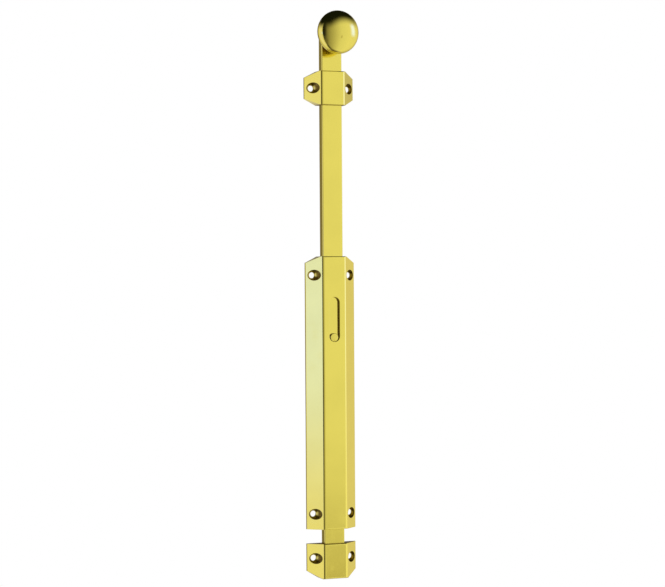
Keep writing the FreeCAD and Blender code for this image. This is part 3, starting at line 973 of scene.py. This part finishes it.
class BOLT_OT_knob(bpy.types.Operator):
    """Turns the knob: a dome, a rounded shoulder, a cone behind it and a neck with a screw hole."""

    bl_idname = "bolt.knob"
    bl_label = "Knob"

    def execute(self, context):
        shape = context.scene.bolt_shape
        shoulder = shape.knob_shoulder
        dome = shape.knob_dome
        neck = shape.knob_neck
        hole = shape.knob_hole / 2
        foot = -KNOB_HIGH.y
        apex = -KNOB_LOW.y
        hole_end = -SCREW_LOW.y + shape.knob_hole_spare

        # The shoulder's arc runs on into the dome, and its centre lies this far in front of the dome's
        shoulder_out = (KNOB_HIGH.x - KNOB_LOW.x) / 2 - shoulder
        reach = math.sqrt((dome - shoulder) ** 2 - shoulder_out ** 2)
        turn = math.atan2(reach, shoulder_out)
        middle = apex - dome + reach
        cone_radius = shoulder_out + shoulder * math.cos(turn)
        cone_top = middle - shoulder * math.sin(turn)
        neck_top = cone_top - (cone_radius - neck) / math.tan(turn)

        outline = [(0, hole_end), (hole, hole_end), (hole, foot), (neck, foot), (neck, neck_top)]
        outline += arc(shoulder_out, middle, shoulder, -turn, turn, steps=20)
        outline += arc(0, apex - dome, dome, turn, math.pi / 2, steps=20)[1:]
        piece = add_turned("knob_body", outline, 0, KNOB_HEIGHT, steps=96)
        smooth_off(piece)
        finish = context.scene.bolt_finish
        # The knob's back, behind the shoulder, gets painted shade
        brass = make_turned_brass("knob_brass", finish, KNOB_HEIGHT, back=-middle + SHADE_BEHIND)
        stand_in(piece, "knob", "rod", brass)
        return {"FINISHED"}


class BOLT_OT_stop_pin(bpy.types.Operator):
    """Turns the stop pin: a round head with a softened rim, on a shank in the rod."""

    bl_idname = "bolt.stop_pin"
    bl_label = "Stop pin"

    def execute(self, context):
        shape = context.scene.bolt_shape
        radius = (PIN_HIGH.x - PIN_LOW.x) / 2
        shank = shape.pin_shank / 2
        rim = shape.pin_rim
        seat = -ROD_LOW.y
        front = -PIN_LOW.y
        outline = [(0, -PIN_HIGH.y), (shank, -PIN_HIGH.y), (shank, seat), (radius, seat)]
        outline += arc(radius - rim, front - rim, rim, 0, math.pi / 2, steps=6)
        outline.append((0, front))
        piece = add_turned("pin_body", outline, 0, PIN_HEIGHT, steps=64)
        smooth_off(piece)
        finish = context.scene.bolt_finish
        # The edge of the pin's head, in its gap to the slot, gets painted shade
        brass = make_turned_brass("pin_brass", finish, PIN_HEIGHT, rim=radius)
        stand_in(piece, "stop_pin", "rod", brass)
        return {"FINISHED"}


class BOLT_OT_hidden_parts(bpy.types.Operator):
    """Finishes the bow spring and the knob's screw."""

    bl_idname = "bolt.hidden_parts"
    bl_label = "Spring and screw"

    def execute(self, context):
        finish = context.scene.bolt_finish
        bronze = make_plain_metal("spring_bronze", tuple(finish.bronze), roughness=0.28)
        steel = make_plain_metal("screw_steel", tuple(finish.steel), roughness=0.3)
        refinish("bow_spring", bronze)
        refinish("knob_screw", steel)
        return {"FINISHED"}


STEPS = (
    BOLT_OT_stage,
    BOLT_OT_casing,
    BOLT_OT_brackets,
    BOLT_OT_rod,
    BOLT_OT_knob,
    BOLT_OT_stop_pin,
    BOLT_OT_hidden_parts,
)


class BOLT_PT_steps(bpy.types.Panel):
    """Lists the steps that make the bolt."""

    bl_idname = "BOLT_PT_steps"
    bl_label = "Surface bolt"
    bl_space_type = "VIEW_3D"
    bl_region_type = "UI"
    bl_category = "Surface bolt"

    def draw(self, context):
        for step in STEPS:
            self.layout.operator(step.bl_idname)


CLASSES = (BoltShape, BoltFinish, BoltStudio, *STEPS, BOLT_PT_steps)


def register():
    for made in CLASSES:
        bpy.utils.register_class(made)
    bpy.types.Scene.bolt_shape = bpy.props.PointerProperty(type=BoltShape)
    bpy.types.Scene.bolt_finish = bpy.props.PointerProperty(type=BoltFinish)
    bpy.types.Scene.bolt_studio = bpy.props.PointerProperty(type=BoltStudio)


def unregister():
    del bpy.types.Scene.bolt_shape
    del bpy.types.Scene.bolt_finish
    del bpy.types.Scene.bolt_studio
    for made in reversed(CLASSES):
        bpy.utils.unregister_class(made)


def main():
    """Makes the bolt step by step."""
    register()
    bpy.ops.bolt.stage()
    bpy.ops.bolt.casing()
    bpy.ops.bolt.brackets()
    bpy.ops.bolt.rod()
    bpy.ops.bolt.knob()
    bpy.ops.bolt.stop_pin()
    bpy.ops.bolt.hidden_parts()


if __name__ == "__main__":
    main()
